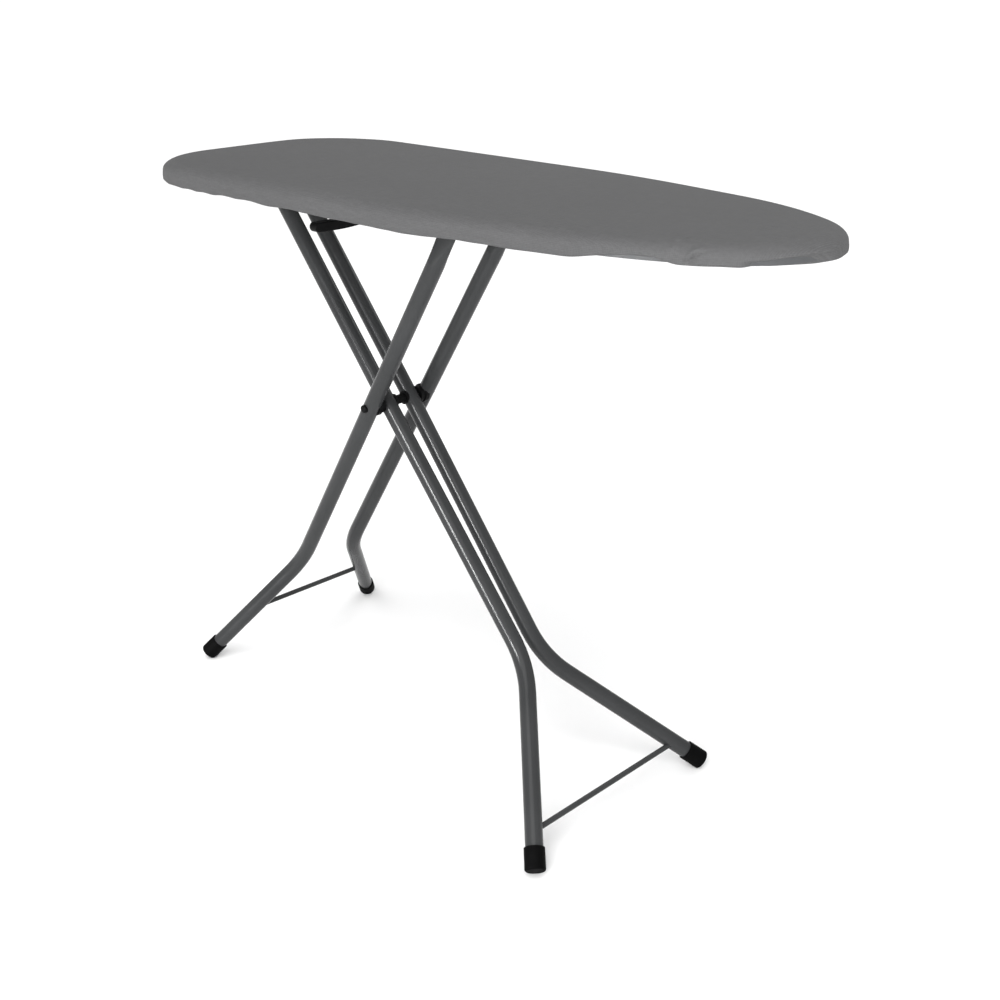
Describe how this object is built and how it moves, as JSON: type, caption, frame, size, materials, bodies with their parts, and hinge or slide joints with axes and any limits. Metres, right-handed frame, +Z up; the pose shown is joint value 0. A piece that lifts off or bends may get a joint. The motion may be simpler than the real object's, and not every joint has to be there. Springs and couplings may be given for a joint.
{
  "type": "ironing board",
  "caption": "Free-standing folding ironing board: a padded, cloth-covered steel table on crossed tube legs that scissor flat, with an under-edge height lever.",
  "frame": {"origin": "on the floor, under the middle of the board", "axes": "+X along the board to its tapered nose, +Y across the board to the side away from the height lever, +Z up; standing open"},
  "size_m": [1.07, 0.4218, 0.853],
  "materials": {
    "cover_cloth": "plain weave cotton, mid grey",
    "felt_pad": "needled felt, natural",
    "table_steel": "graphite powder coat",
    "leg_steel": "dark graphite powder coat, semi-gloss",
    "zinc_steel": "zinc plated",
    "black_plastic": "moulded, fine texture",
    "foot_plastic": "soft moulded cap"
  },
  "bodies": {
    "board": {"cover": "cover_cloth", "pad": "felt_pad", "top_mesh": "table_steel", "rim_frame": "table_steel", "strap_rear": "table_steel", "strap_middle": "table_steel", "strap_nose": "table_steel", "slide_rail": "table_steel", "leg_bracket": "table_steel", "hinge_pin": "zinc_steel", "hinge_clip": "zinc_steel", "lever_bearing_rear": "table_steel", "lever_bearing_front": "table_steel"},
    "lever": {"lever_shaft": "zinc_steel", "lock_plate": "zinc_steel", "lever_arm": "zinc_steel", "lever_grip": "black_plastic"},
    "inner_frame": {"inner_tube_near": "leg_steel", "inner_tube_far": "leg_steel", "inner_stretcher": "leg_steel", "foot_cap_inner_near": "foot_plastic", "foot_cap_inner_far": "foot_plastic", "pivot_spacer_centre": "black_plastic", "hinge_spacer": "black_plastic"},
    "outer_frame": {"outer_tube_near": "leg_steel", "outer_tube_far": "leg_steel", "outer_stretcher": "leg_steel", "foot_cap_outer_near": "foot_plastic", "foot_cap_outer_far": "foot_plastic", "slide_rod": "zinc_steel", "slide_rod_nuts": "zinc_steel", "slide_rod_spacers": "black_plastic", "pivot_bolt": "zinc_steel", "pivot_cap_near": "black_plastic", "pivot_cap_far": "black_plastic", "pivot_spacer_near": "black_plastic", "pivot_spacer_far": "black_plastic"}
  },
  "joints": [
    {"name": "leg_fold", "type": "hinge", "parent": "board", "child": "inner_frame", "pos_m": [-0.42584, 0, 0.805], "axis": [0, -1, 0], "range_deg": [0, 44.7]},
    {"name": "leg_scissor", "type": "hinge", "parent": "inner_frame", "child": "outer_frame", "pos_m": [-0.169, 0, 0.5117], "axis": [0, 1, 0], "range_deg": [0, 96.5]},
    {"name": "lever_lift", "type": "hinge", "parent": "board", "child": "lever", "pos_m": [-0.1555, 0, 0.8385], "axis": [-1, 0, 0], "range_deg": [0, 6.5]}
  ],
  "couplings": [
    {"joint": "leg_scissor", "follows": "leg_fold", "ratio": 2.155}
  ]
}
